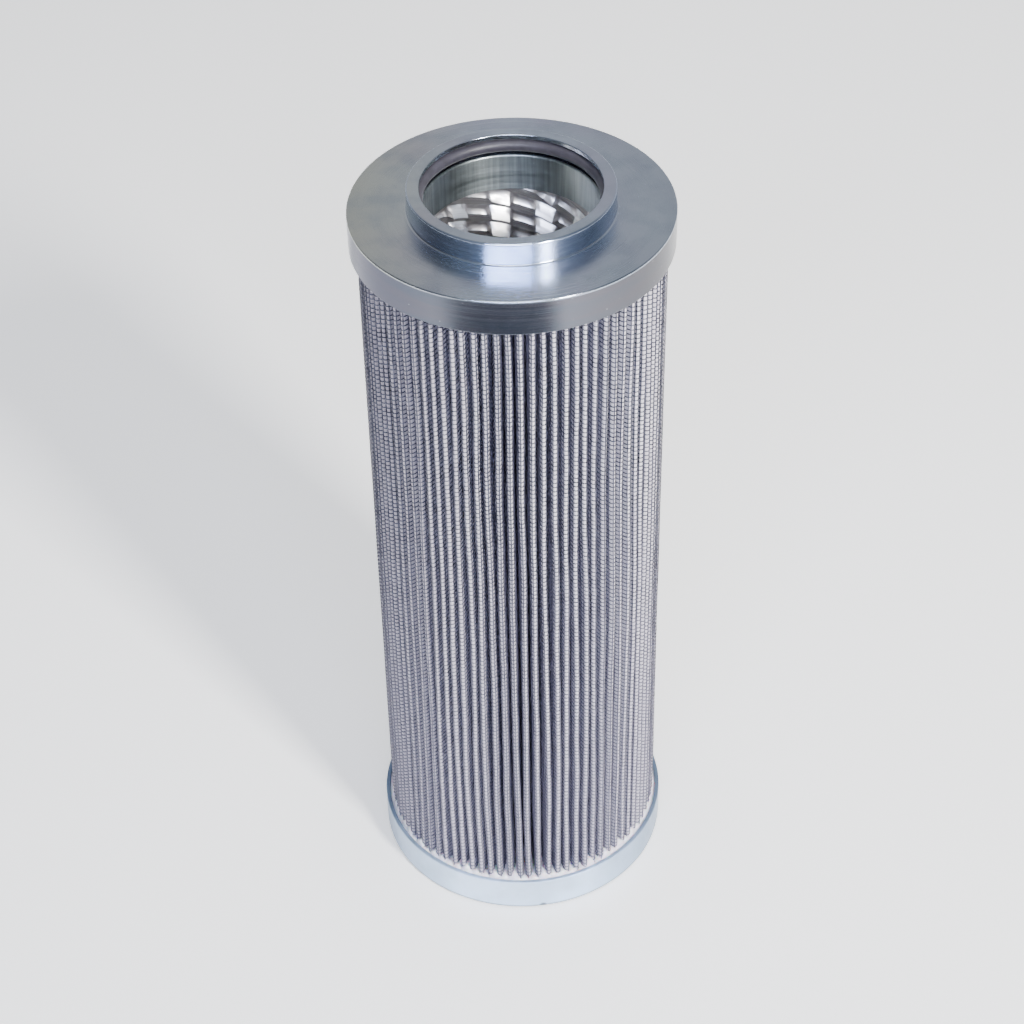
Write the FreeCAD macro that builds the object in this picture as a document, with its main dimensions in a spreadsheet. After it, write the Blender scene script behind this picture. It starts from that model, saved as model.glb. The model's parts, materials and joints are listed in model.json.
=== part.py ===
import FreeCAD, Part
import math
import os
import Sketcher

from FreeCAD import Placement, Rotation, Vector

doc = FreeCAD.newDocument("pleated_filter_element")

# Driving dimensions: millimetres, and plain numbers for counts
driving_sizes = [
    ("cap_diameter", 68.0),
    ("body_length", 180.0),
    ("edge_bevel", 0.3),
    ("flange_wall", 1.0),
    ("rim_height", 8.0),
    ("rim_wall", 1.0),
    ("bore_diameter", 36.6),
    ("bore_bevel", 0.35),
    ("skirt_length", 8.0),
    ("skirt_wall", 1.0),
    ("collar_rise", 5.0),
    ("collar_wall", 0.9),
    ("lip_diameter", 37.8),
    ("lip_wall", 1.0),
    ("groove_width", 3.6),
    ("ring_bore", 36.17),
    ("ring_section", 2.62),
    ("ring_sides", 8),
    ("ring_clearance", 0.04),
    ("cup_height", 9.0),
    ("cup_wall", 1.0),
    ("cup_bevel", 0.5),
    ("potting_recess", 0.8),
    ("glue_gap", 0.05),
    ("core_clearance", 0.15),
    ("core_wall", 0.6),
    ("strip_lead", 38.25),
    ("windows_per_turn", 12),
    ("window_length", 4.7),
    ("window_height", 1.7),
    ("window_margin", 6.0),
    ("crest_clearance", 0.5),
    ("root_clearance", 0.75),
    ("pleat_count", 85),
    ("mesh_thickness", 0.28),
    ("media_thickness", 0.42),
    ("leg_gap", 0.1),
    ("crest_drop", 0.42),
    ("crest_flat", 0.55),
    ("seam_thickness", 0.3),
    ("seam_setback", 0.6),
]

sheet = doc.addObject("Spreadsheet::Sheet", "sizes")
for row, (name, value) in enumerate(driving_sizes, start=1):
    sheet.set(f"A{row}", name)
    sheet.set(f"B{row}", str(value))
    sheet.setAlias(f"B{row}", name)
doc.recompute()


def size(name):
    return float(sheet.get(name))


def half(name):
    return f"sizes.{name} / 2"


# Heights and radii that several pieces share, as expressions of the driving dimensions
cap_radius = half("cap_diameter")
flange_top = "sizes.body_length"
flange_under = "(sizes.body_length - sizes.flange_wall)"
rim_foot = "(sizes.body_length - sizes.rim_height)"
skirt_foot = "(sizes.body_length - sizes.skirt_length)"
collar_top = "(sizes.body_length + sizes.collar_rise)"
lip_under = f"({collar_top} - sizes.lip_wall)"
bore_top = f"({lip_under} - sizes.groove_width)"
bore_radius = half("bore_diameter")
skirt_radius = f"({bore_radius} + sizes.skirt_wall)"
ring_outer = f"({half('ring_bore')} + sizes.ring_section)"
groove_radius = f"({ring_outer} + sizes.ring_clearance)"
collar_radius = f"({groove_radius} + sizes.collar_wall)"
core_inner = f"({skirt_radius} + sizes.core_clearance)"
core_outer = f"({core_inner} + sizes.core_wall)"
potting_inner = f"({core_outer} + sizes.glue_gap)"
lower_potting_top = "(sizes.cup_height - sizes.potting_recess)"
upper_potting_foot = f"({rim_foot} + sizes.potting_recess)"
first_window_foot = "(sizes.cup_height + sizes.window_margin)"
last_window_foot = f"({rim_foot} - sizes.window_margin - sizes.window_height)"
window_rise = "(sizes.strip_lead / sizes.windows_per_turn)"


def evaluate(expression):
    return float(sheet.evalExpression(expression))


def origin_feature(body, role):
    return next(item for item in body.Origin.OriginFeatures if item.Role == role)


# A closed outline of straight edges. Each corner is a pair of expressions; "0" puts it on an axis, and
# neighbours that share an expression are tied by an upright or level edge instead of a second dimension.
def outline_sketch(body, name, corners):
    sketch = body.newObject("Sketcher::SketchObject", name)
    sketch.AttachmentSupport = [(origin_feature(body, "XZ_Plane"), "")]
    sketch.MapMode = "FlatFace"
    points = [Vector(evaluate(across), evaluate(up), 0) for across, up in corners]
    for start, end in zip(points, points[1:] + points[:1]):
        sketch.addGeometry(Part.LineSegment(start, end), False)
    for index in range(len(points)):
        sketch.addConstraint(Sketcher.Constraint("Coincident", index, 2, (index + 1) % len(points), 1))
    for index, corner in enumerate(corners):
        before = corners[index - 1] if index else (None, None)
        directions = zip(corner, before, ("DistanceX", "DistanceY"), ("Vertical", "Horizontal"), (-2, -1))
        for expression, earlier, distance, tie, axis in directions:
            if expression == earlier:
                sketch.addConstraint(Sketcher.Constraint(tie, index - 1))
            elif expression == "0":
                sketch.addConstraint(Sketcher.Constraint("PointOnObject", index, 1, axis))
            else:
                value = evaluate(expression)
                number = sketch.addConstraint(Sketcher.Constraint(distance, -1, 1, index, 1, value))
                sketch.setExpression(f"Constraints[{number}]", expression)
    return sketch


# A round piece, turned about the vertical axis from an outline of (radius, height) corners
def turned_body(name, corners):
    body = doc.addObject("PartDesign::Body", name)
    body.Label = name
    profile = outline_sketch(body, name + "_profile", corners)
    turn = body.newObject("PartDesign::Revolution", name + "_turn")
    turn.Profile = profile
    turn.ReferenceAxis = (profile, ["V_Axis"])
    turn.Angle = 360.0
    body.Tip = turn
    return body


# Flange, rim turned down over the pack, collar with its ring groove and lip, and the skirt inside the core
def make_top_end_cap():
    rim_inner = f"({cap_radius} - sizes.rim_wall)"
    return turned_body("top_end_cap", [
        (cap_radius, rim_foot),
        (cap_radius, f"{flange_top} - sizes.edge_bevel"),
        (f"{cap_radius} - sizes.edge_bevel", flange_top),
        (collar_radius, flange_top),
        (collar_radius, f"{collar_top} - sizes.edge_bevel"),
        (f"{collar_radius} - sizes.edge_bevel", collar_top),
        (half("lip_diameter"), collar_top),
        (half("lip_diameter"), lip_under),
        (groove_radius, lip_under),
        (groove_radius, bore_top),
        (f"{bore_radius} + sizes.bore_bevel", bore_top),
        (bore_radius, f"{bore_top} - sizes.bore_bevel"),
        (bore_radius, skirt_foot),
        (skirt_radius, skirt_foot),
        (skirt_radius, flange_under),
        (rim_inner, flange_under),
        (rim_inner, rim_foot),
    ])


# The rubber ring's round section is a polygon inside its circle, turned about the vertical axis
def make_seal_ring():
    section = doc.addObject("Part::RegularPolygon", "seal_ring_section")
    section.setExpression("Polygon", "sizes.ring_sides")
    section.setExpression("Circumradius", half("ring_section"))
    section.Placement = Placement(Vector(0, 0, 0), Rotation(Vector(1, 0, 0), 90))
    section.setExpression("Placement.Base.x", f"{ring_outer} - {half('ring_section')}")
    section.setExpression("Placement.Base.z", f"{bore_top} + {half('groove_width')}")
    ring = doc.addObject("Part::Revolution", "seal_ring")
    ring.Label = "seal_ring"
    ring.Source = section
    ring.Axis = Vector(0, 0, 1)
    ring.Angle = 360.0
    ring.Solid = True
    return ring


# A drawn cup, closed at the bottom, that the pack and the core stand in
def make_bottom_end_cap():
    cup_inner = f"({cap_radius} - sizes.cup_wall)"
    return turned_body("bottom_end_cap", [
        ("0", "0"),
        (f"{cap_radius} - sizes.cup_bevel", "0"),
        (cap_radius, "sizes.cup_bevel"),
        (cap_radius, "sizes.cup_height"),
        (cup_inner, "sizes.cup_height"),
        (cup_inner, "sizes.cup_wall"),
        ("0", "sizes.cup_wall"),
    ])


# Adhesive that fills an end cap between its wall and the core tube
def make_potting(name, cap_wall, foot, top):
    outer = f"({cap_radius} - sizes.{cap_wall} - sizes.glue_gap)"
    return turned_body(name, [
        (potting_inner, foot),
        (outer, foot),
        (outer, top),
        (potting_inner, top),
    ])


# A window is a box across the core's wall, turned to its place on the strip's helix
def make_core_window(index):
    window = doc.addObject("Part::Box", f"core_window_{index}")
    turn = f"({index} * 360 deg / sizes.windows_per_turn)"
    near_side = f"({core_inner} - sizes.core_wall)"
    beside = half("window_length")
    window.setExpression("Length", "3 * sizes.core_wall")
    window.setExpression("Width", "sizes.window_length")
    window.setExpression("Height", "sizes.window_height")
    window.setExpression("Placement.Rotation.Angle", turn)
    window.setExpression("Placement.Base.x", f"cos({turn}) * {near_side} + sin({turn}) * {beside}")
    window.setExpression("Placement.Base.y", f"sin({turn}) * {near_side} - cos({turn}) * {beside}")
    window.setExpression("Placement.Base.z", f"{first_window_foot} + {index} * {window_rise}")
    return window


# A tube wound from pierced strip, so its windows climb round it on a right-handed helix
def make_core_tube():
    sleeve = turned_body("core_sleeve", [
        (core_inner, "sizes.cup_wall"),
        (core_outer, "sizes.cup_wall"),
        (core_outer, flange_under),
        (core_inner, flange_under),
    ])
    window_count = 1 + int(evaluate(f"({last_window_foot} - {first_window_foot}) / {window_rise}"))
    windows = doc.addObject("Part::Compound", "core_windows")
    windows.Links = [make_core_window(index) for index in range(window_count)]
    core = doc.addObject("Part::Cut", "core_tube")
    core.Label = "core_tube"
    core.Base = sleeve
    core.Tool = windows
    return core


# The folded section that the two sheets share: slim fins standing out from the core, close at their feet
pleat_count = int(size("pleat_count"))
pleat_step = 2 * math.pi / pleat_count
seam_turn = math.pi / 2
crest_radius = evaluate(f"{cap_radius} - sizes.rim_wall - sizes.crest_clearance")
root_radius = evaluate(f"{core_outer} + sizes.root_clearance")
mesh_thickness = size("mesh_thickness")
media_thickness = size("media_thickness")
fin_half = mesh_thickness + media_thickness + size("leg_gap") / 2
shoulder_radius = crest_radius - size("crest_drop")
crest_half = size("crest_flat") / 2
seam_half = size("seam_thickness") / 2
seam_end = crest_radius - size("seam_setback")
pack_foot = evaluate(lower_potting_top)
pack_height = evaluate(upper_potting_foot) - pack_foot

# Crest and root of each face, as (across, radius): across the fin for a crest, across the valley for a root
outside_crest = [
    (-fin_half, shoulder_radius),
    (-crest_half, crest_radius),
    (crest_half, crest_radius),
    (fin_half, shoulder_radius),
]
outside_root = [(0, root_radius + media_thickness + mesh_thickness)]
between_half = (crest_half + fin_half - mesh_thickness) / 2
between_crest = [
    (-between_half, crest_radius - mesh_thickness),
    (between_half, crest_radius - mesh_thickness),
]
between_root = [
    (-mesh_thickness, root_radius + media_thickness),
    (mesh_thickness, root_radius + media_thickness),
]
inside_crest = [(0, crest_radius - mesh_thickness - media_thickness)]
inside_root = [
    (-mesh_thickness - media_thickness, root_radius),
    (mesh_thickness + media_thickness, root_radius),
]


# A point given across and out along the direction of the turn
def pack_point(turn, across, radius):
    return Vector(
        radius * math.cos(turn) - across * math.sin(turn),
        radius * math.sin(turn) + across * math.cos(turn),
        0,
    )


# Once round the pack, from the seam's far side over every fin and back to the seam's near side
def fold_line(crest, root, seam_across):
    line = [pack_point(seam_turn, seam_across, seam_end)]
    for fin in range(pleat_count):
        valley_turn = seam_turn + (fin + 0.5) * pleat_step
        line += [pack_point(valley_turn, across, radius) for across, radius in root]
        if fin < pleat_count - 1:
            fin_turn = seam_turn + (fin + 1) * pleat_step
            line += [pack_point(fin_turn, across, radius) for across, radius in crest]
    line.append(pack_point(seam_turn, -seam_across, seam_end))
    return line


# A piece as tall as the pack, standing on the lower adhesive, with the given outline
def upright_piece(name, points):
    outline = Part.makePolygon(points + points[:1])
    piece = doc.addObject("Part::Feature", name)
    piece.Label = name
    piece.Shape = Part.Face(outline).extrude(Vector(0, 0, pack_height))
    piece.Placement = Placement(Vector(0, 0, pack_foot), Rotation())
    return piece


def make_outer_mesh():
    outside = fold_line(outside_crest, outside_root, seam_half + media_thickness + mesh_thickness)
    inside = fold_line(between_crest, between_root, seam_half + media_thickness)
    return upright_piece("outer_mesh", outside + inside[::-1])


def make_filter_media():
    outside = fold_line(between_crest, between_root, seam_half + media_thickness)
    inside = fold_line(inside_crest, inside_root, seam_half)
    return upright_piece("filter_media", outside + inside[::-1])


# Adhesive between the two end legs of the sheets, from near their feet to their cut edges
def make_side_seam():
    near_root = pack_point(pleat_step / 2, inside_root[0][0], root_radius)
    strip_start = root_radius + media_thickness
    share = (strip_start - near_root.x) / (seam_end - near_root.x)
    start_half = near_root.y + share * (seam_half - near_root.y)
    corners = [
        (-start_half, strip_start),
        (start_half, strip_start),
        (seam_half, seam_end),
        (-seam_half, seam_end),
    ]
    return upright_piece("side_seam", [pack_point(seam_turn, *corner) for corner in corners])


sub_parts = [
    make_bottom_end_cap(),
    make_potting("lower_potting", "cup_wall", "sizes.cup_wall", lower_potting_top),
    make_core_tube(),
    make_filter_media(),
    make_outer_mesh(),
    make_side_seam(),
    make_potting("upper_potting", "rim_wall", upper_potting_foot, flange_under),
    make_top_end_cap(),
    make_seal_ring(),
]
doc.recompute()

for item in doc.Objects:
    if "Invalid" in item.State or "Error" in item.State:
        raise RuntimeError(f"{item.Name} did not build: {item.State}")
for sub_part in sub_parts:
    if sub_part.Shape.isNull() or not sub_part.Shape.isValid():
        raise RuntimeError(f"{sub_part.Label} has no valid shape")

os.makedirs("parts", exist_ok=True)
for sub_part in sub_parts:
    sub_part.Shape.exportStep(f"parts/{sub_part.Label}.step")
    solids = len(sub_part.Shape.Solids)
    print(f"{sub_part.Label}: {solids} solid, {sub_part.Shape.Volume:.0f} cubic millimetres")
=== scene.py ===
import json
import math
from types import SimpleNamespace

import bmesh
import bpy
import numpy as np
from mathutils import Matrix, Vector


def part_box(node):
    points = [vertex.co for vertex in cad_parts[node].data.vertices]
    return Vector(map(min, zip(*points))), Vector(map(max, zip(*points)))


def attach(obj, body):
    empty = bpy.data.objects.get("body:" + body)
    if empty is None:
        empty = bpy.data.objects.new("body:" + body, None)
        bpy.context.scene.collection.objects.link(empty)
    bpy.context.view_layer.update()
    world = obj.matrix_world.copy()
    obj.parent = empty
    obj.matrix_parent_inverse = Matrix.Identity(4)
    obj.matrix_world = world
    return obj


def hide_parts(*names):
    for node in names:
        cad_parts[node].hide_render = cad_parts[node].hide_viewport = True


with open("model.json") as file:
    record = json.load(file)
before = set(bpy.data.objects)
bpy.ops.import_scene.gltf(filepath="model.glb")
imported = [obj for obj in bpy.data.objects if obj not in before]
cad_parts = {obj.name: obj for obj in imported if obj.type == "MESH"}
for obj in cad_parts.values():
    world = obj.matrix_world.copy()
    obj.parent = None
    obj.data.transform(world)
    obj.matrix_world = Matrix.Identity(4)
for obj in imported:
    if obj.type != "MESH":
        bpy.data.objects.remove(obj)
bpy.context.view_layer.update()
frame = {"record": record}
mm = 0.001  # the frame is in metres, and the sizes below are in millimetres
print("frame loaded")


def reach(node):
    low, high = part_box(node)
    return {"foot": low.z / mm, "top": high.z / mm, "radius": (high.x - low.x) / 2 / mm}


capReach = reach("top_end_cap")
ringReach = reach("seal_ring")
cupReach = reach("bottom_end_cap")
coreReach = reach("core_tube")
packReach = reach("outer_mesh")
lowerGlueReach = reach("lower_potting")
upperGlueReach = reach("upper_potting")
boreMount = next(mount for mount in frame["record"]["mounts"] if mount["name"] == "spigot_bore")
boreRadius = boreMount["dims"]["r_mm"]


# Colours are sRGB hex values, as a colour picker shows them; what is mixed already passes through
def hexColour(paint):
    if not isinstance(paint, str):
        return paint
    channels = [int(paint[start:start + 2], 16) / 255 for start in (1, 3, 5)]
    return [c / 12.92 if c <= 0.04045 else ((c + 0.055) / 1.055) ** 2.4 for c in channels] + [1.0]


# Adds a node with its settings and links, and gives its first output or the one that is asked for
def addNode(tree, kind, settings={}, sockets={}, output=0):
    node = tree.nodes.new(kind)
    for name, value in settings.items():
        setattr(node, name, value)
    for key, value in sockets.items():
        if isinstance(value, bpy.types.NodeSocket):
            tree.links.new(value, node.inputs[key])
        else:
            node.inputs[key].default_value = value
    return node.outputs[output] if len(node.outputs) else None


def startMaterial(name):
    material = bpy.data.materials.new(name)
    material.use_nodes = True
    material.node_tree.nodes.clear()
    return material, material.node_tree


# Ends a material with its shader; a relief gets a strength and a depth in millimetres
def endMaterial(material, sockets, relief=None, strength=1.0, depth=0.0):
    tree = material.node_tree
    if relief is not None:
        bumps = {"Height": relief, "Strength": strength, "Distance": depth * mm}
        sockets = dict(sockets, Normal=addNode(tree, "ShaderNodeBump", sockets=bumps))
    shader = addNode(tree, "ShaderNodeBsdfPrincipled", sockets=sockets)
    addNode(tree, "ShaderNodeOutputMaterial", sockets={"Surface": shader})
    return material


# The place on a piece in millimetres, as across, along and height, and in axes as the distance from the
# axis, the turn round it and the height
def measurePlace(tree):
    metres = addNode(tree, "ShaderNodeTexCoord", output="Object")
    place = addNode(tree, "ShaderNodeVectorMath", {"operation": "SCALE"}, {0: metres, "Scale": 1 / mm})
    across, along, height = addNode(tree, "ShaderNodeSeparateXYZ", sockets={0: place}).node.outputs
    flat = addNode(tree, "ShaderNodeCombineXYZ", sockets={0: across, 1: along})
    radius = addNode(tree, "ShaderNodeVectorMath", {"operation": "LENGTH"}, {0: flat}, "Value")
    turn = addNode(tree, "ShaderNodeMath", {"operation": "ARCTAN2"}, {0: along, 1: across})
    axes = (radius, turn, height)
    return SimpleNamespace(place=place, across=across, along=along, height=height, radius=radius, axes=axes)


# A pattern that runs at its own rate along each of three axes
def stretchedNoise(tree, axes, rates, detail):
    spread = [
        addNode(tree, "ShaderNodeMath", {"operation": "MULTIPLY"}, {0: axis, 1: rate})
        for axis, rate in zip(axes, rates)
    ]
    vector = addNode(tree, "ShaderNodeCombineXYZ", sockets=dict(enumerate(spread)))
    return addNode(tree, "ShaderNodeTexNoise", {}, {0: vector, "Scale": 1.0, "Detail": detail})


# A number that follows a span of (what it reads, low, high, its value at low, its value at high);
# several spans multiply
def shareOf(tree, first, *others):
    share = addNode(tree, "ShaderNodeMapRange", sockets=dict(enumerate(first)))
    for span in others:
        part = addNode(tree, "ShaderNodeMapRange", sockets=dict(enumerate(span)))
        share = addNode(tree, "ShaderNodeMath", {"operation": "MULTIPLY"}, {0: share, 1: part})
    return share


# Lays colours over a first one: a layer is a colour and the spans that say how much of it shows
def paintLayers(tree, colour, *layers):
    for over, *spans in layers:
        sockets = {0: shareOf(tree, *spans), 6: hexColour(colour), 7: hexColour(over)}
        colour = addNode(tree, "ShaderNodeMix", {"data_type": "RGBA"}, sockets, 2)
    return colour


def keepPiece(obj, slotName, *nodes):
    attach(obj, "root")
    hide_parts(*nodes)


def meshPiece(name, points, faces, material, edges=()):
    mesh = bpy.data.meshes.new(name)
    mesh.from_pydata([tuple(coordinate * mm for coordinate in point) for point in points], edges, faces)
    mesh.materials.append(material)
    obj = bpy.data.objects.new(name, mesh)
    bpy.context.scene.collection.objects.link(obj)
    return obj


# An outline of (distance, height, round) corners, run anticlockwise, with each corner turned into an arc;
# it gives the points and the direction that the surface faces at each
def roundOutline(corners, steps=4):
    outline = []
    for index, (distance, height, rounding) in enumerate(corners):
        here = Vector((distance, height))
        after = Vector(corners[(index + 1) % len(corners)][:2])
        inward = (here - Vector(corners[index - 1][:2])).normalized()
        onward = (after - here).normalized()
        if not rounding:  # on the axis, where the surface is level
            level = onward if abs(onward.x) > 0.5 else inward
            outline.append((here, Vector((level.y, -level.x))))
            continue
        bend = math.atan2(inward.x * onward.y - inward.y * onward.x, inward.dot(onward))
        side = math.copysign(1, bend)
        facing = Vector((inward.y, -inward.x))
        centre = here - inward * rounding * math.tan(abs(bend) / 2) - facing * rounding * side
        for step in range(steps + 1):
            direction = Matrix.Rotation(bend * step / steps, 2) @ facing
            outline.append((centre + direction * rounding * side, direction))
    return outline


def turnedPiece(name, outline, steps, material, trueNormals=True):
    points, directions, rings, faces = [], [], [], []
    for point, direction in outline:
        if point.x < 1e-6:
            rings.append([len(points)] * steps)
            points.append((0, 0, point.y))
            directions.append((0, 0, direction.y))
            continue
        rings.append(range(len(points), len(points) + steps))
        for step in range(steps):
            across, along = math.cos(2 * math.pi * step / steps), math.sin(2 * math.pi * step / steps)
            points.append((point.x * across, point.x * along, point.y))
            directions.append((direction.x * across, direction.x * along, direction.y))
    for ring, following in zip(rings, rings[1:] + rings[:1]):
        for step in range(steps):
            ahead = (step + 1) % steps
            face = tuple(dict.fromkeys((ring[step], ring[ahead], following[ahead], following[step])))
            if len(face) > 2:
                faces.append(face)
    obj = meshPiece(name, points, faces, material)
    obj.data.shade_smooth()
    if trueNormals:
        obj.data.normals_split_custom_set_from_vertices(directions)
    return obj


# Geometry Nodes: named inputs, set on the modifier by their identifiers
def startTree(name, inputs):
    tree = bpy.data.node_groups.new(name, "GeometryNodeTree")
    tree.interface.new_socket("Geometry", in_out="INPUT", socket_type="NodeSocketGeometry")
    tree.interface.new_socket("Geometry", in_out="OUTPUT", socket_type="NodeSocketGeometry")
    for label, value in inputs.items():
        kind = "NodeSocketInt" if isinstance(value, int) else "NodeSocketFloat"
        tree.interface.new_socket(label, in_out="INPUT", socket_type=kind)
    return tree, addNode(tree, "NodeGroupInput").node.outputs


def endTree(tree, geometry, material):
    whole = addNode(tree, "GeometryNodeRealizeInstances", sockets={0: geometry})
    painted = addNode(tree, "GeometryNodeSetMaterial", {}, {"Geometry": whole, "Material": material})
    addNode(tree, "NodeGroupOutput", sockets={0: painted})


# Points one above another, to put pieces on
def pointColumn(tree, count, foot, pitch):
    start = addNode(tree, "ShaderNodeCombineXYZ", sockets={2: foot})
    step = addNode(tree, "ShaderNodeCombineXYZ", sockets={2: pitch})
    sockets = {"Count": count, "Start Location": start, "Offset": step}
    return addNode(tree, "GeometryNodeMeshLine", {"mode": "OFFSET"}, sockets)


# Runs a tree on a piece's mesh and keeps what it makes
def growMesh(obj, tree, inputs):
    grower = obj.modifiers.new("grow", "NODES")
    grower.node_group = tree
    for item in tree.interface.items_tree:
        if item.in_out == "INPUT" and item.name in inputs:
            grower[item.identifier] = inputs[item.name]
    evaluated = obj.evaluated_get(bpy.context.evaluated_depsgraph_get())
    grown = bpy.data.meshes.new_from_object(evaluated)
    obj.modifiers.remove(grower)
    obj.data = grown
    return obj


capSettings = {
    "rimWall": 1.0,
    "flangeWall": 1.0,
    "collarRise": 5.0,
    "collarRadius": 21.645,
    "lipRadius": 18.9,
    "lipWall": 1.0,
    "grooveRadius": 20.745,
    "grooveFoot": 180.4,
    "skirtWall": 1.0,
    "outerRound": 0.3,
    "collarRound": 0.45,
    "rootRound": 0.4,
    "boreRound": 0.35,
    "innerRound": 0.1,
    "steps": 288,
    "cool": "#b8c3d0",
    "lilac": "#b4b2c6",
    # painted reflections: green on the left and grey on the right
    "greenReflectionLeft": "#b9bcaf",
    "grey": "#a4aeb9",
    "smudge": "#8a95a4",
    "speck": "#dfe4ea",
    "collarBlue": "#a4b2ca",
    # painted highlight: the collar's front is lighter
    "collarFrontHighlight": "#c6d7f6",
    # the rim's tones are painted shade, bluer along drag lines, with painted reflections warm on the right
    # and lilac on the left, and less shade behind
    "rimShadeGrey": "#696971",
    "rimShadeBlue": "#626872",
    "rimReflectionRight": "#595759",
    "rimReflectionLeft": "#4c4c60",
    "rimLessShadeBehind": "#8f959d",
    # the bore's tones are painted shade, streaked by drag lines
    "boreShadeDark": "#8f9798",
    "boreShadePale": "#acb5b6",
    "patchMm": 22.0,
    "smudgeMm": 6.25,
    "specksPerMm": 0.42,
    "marksPerMm": 3.2,  # real turning marks are near 8 to the millimetre, too fine to show here
    "roughness": 0.155,
    "smudgeDulling": 0.05,
    "flangeDulling": 0.055,  # faced with a coarser feed than the collar
    "boreDulling": 0.205,  # bored and left rough
    "anisotropy": 0.65,
}


# Turned mild steel, zinc plated and passivated: a soft mirror with faint rings, in patches of blue and lilac,
# with painted reflections, green on the left and grey on the right, a painted highlight on the collar's
# front, and painted shade on the rim and in the bore
def turnedZincSteel():
    look = capSettings
    material, tree = startMaterial("turned zinc plated steel")
    at = measurePlace(tree)
    rim, top, collar = capReach["radius"], capReach["top"], look["collarRadius"]
    marks = stretchedNoise(tree, at.axes, (look["marksPerMm"], 0.2, look["marksPerMm"]), 5.0)
    dragged = stretchedNoise(tree, at.axes, (0.0, 1.6, 0.5), 2.0)
    streaks = stretchedNoise(tree, at.axes, (0.0, 26.0, 0.06), 4.0)
    patches, smudges = (
        addNode(tree, "ShaderNodeTexNoise", {}, {0: at.place, "Scale": 1 / size, "Detail": detail})
        for size, detail in ((look["patchMm"], 2.0), (look["smudgeMm"], 5.0))
    )
    specks = addNode(tree, "ShaderNodeTexVoronoi", {}, {0: at.place, "Scale": look["specksPerMm"]})
    # the right side, where the grey and the warm painted reflections show
    reflectionToRight = (at.across, 4.0, rim, 0.0, 0.85)
    onCollar = (at.radius, collar - 0.4, collar - 0.1, 0.0, 0.8)
    aboveFlange = (at.height, top - 5.0, top - 4.6, 0.0, 1.0)
    onRim = (at.radius, rim - 0.25, rim - 0.1, 0.0, 1.0)
    underFlange = (at.height, top - 5.6, top - 5.35, 1.0, 0.0)
    # painted highlight on the collar's front, over its blue tint
    highlightAtFront = (at.along, -20.5, -14.0, 1.0, 0.0)
    collarTintAndHighlight = paintLayers(tree, look["collarBlue"], (look["collarFrontHighlight"], highlightAtFront))
    # painted shade in the bore, streaked by upright drag lines
    boreShadeAndStreaks = paintLayers(tree, look["boreShadeDark"], (look["boreShadePale"], (streaks, 0.35, 0.7, 0.0, 1.0)))
    # painted shade on the rim, with drag lines, painted reflections on its sides and less shade behind
    rimPaintedShade = paintLayers(
        tree,
        look["rimShadeGrey"],
        (look["rimShadeBlue"], (dragged, 0.38, 0.66, 0.0, 1.0)),
        (look["rimReflectionRight"], reflectionToRight),
        (look["rimReflectionLeft"], (at.across, -rim, -16.0, 0.85, 0.0)),
        (look["rimLessShadeBehind"], (at.along, -6.0, 8.0, 0.0, 0.9)),
    )
    colour = paintLayers(
        tree,
        look["cool"],
        (look["lilac"], (patches, 0.4, 0.62, 0.0, 0.9)),
        # painted reflection, green on the left
        (look["greenReflectionLeft"], (at.across, -rim, -6.0, 0.95, 0.0)),
        # painted reflection, grey on the right
        (look["grey"], reflectionToRight),
        (look["smudge"], (smudges, 0.42, 0.68, 0.0, 0.4)),
        (collarTintAndHighlight, onCollar, aboveFlange),
        (rimPaintedShade, onRim, underFlange),
        (boreShadeAndStreaks, (at.radius, boreRadius + 0.3, boreRadius + 0.6, 1.0, 0.0)),
        (look["speck"], (specks, 0.03, 0.07, 0.3, 0.0)),
    )
    rough = shareOf(tree, (marks, 0.3, 0.7, look["roughness"] - 0.04, look["roughness"] + 0.07))
    onFace = (at.radius, rim - 0.4, rim - 0.1, look["flangeDulling"], 0.0)
    outside = (at.radius, collar, collar + 0.4, 0.0, 1.0)
    inBore = (at.radius, boreRadius + 0.3, boreRadius + 0.6, look["boreDulling"], 0.0)
    smudged = (smudges, 0.35, 0.75, 0.0, look["smudgeDulling"])
    for dulling in ([smudged], [inBore], [onFace, outside]):
        share = shareOf(tree, *dulling)
        rough = addNode(tree, "ShaderNodeMath", {"operation": "ADD"}, {0: rough, 1: share})
    depth = shareOf(tree, (at.radius, rim - 0.25, rim - 0.1, 1.0, 0.3))
    grooves = addNode(tree, "ShaderNodeMath", {"operation": "MULTIPLY"}, {0: marks, 1: depth})
    axis = (0.0, 0.0, 1.0)
    tangent = addNode(tree, "ShaderNodeVectorMath", {"operation": "CROSS_PRODUCT"}, {0: axis, 1: at.place})
    sockets = {
        "Base Color": colour,
        "Metallic": 1.0,
        "Roughness": rough,
        "Anisotropic": look["anisotropy"],
        "Anisotropic Rotation": 0.25,  # gleams stretch across the turning marks
        "Tangent": tangent,
    }
    return endMaterial(material, sockets, grooves, 0.35, 0.02)


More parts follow.
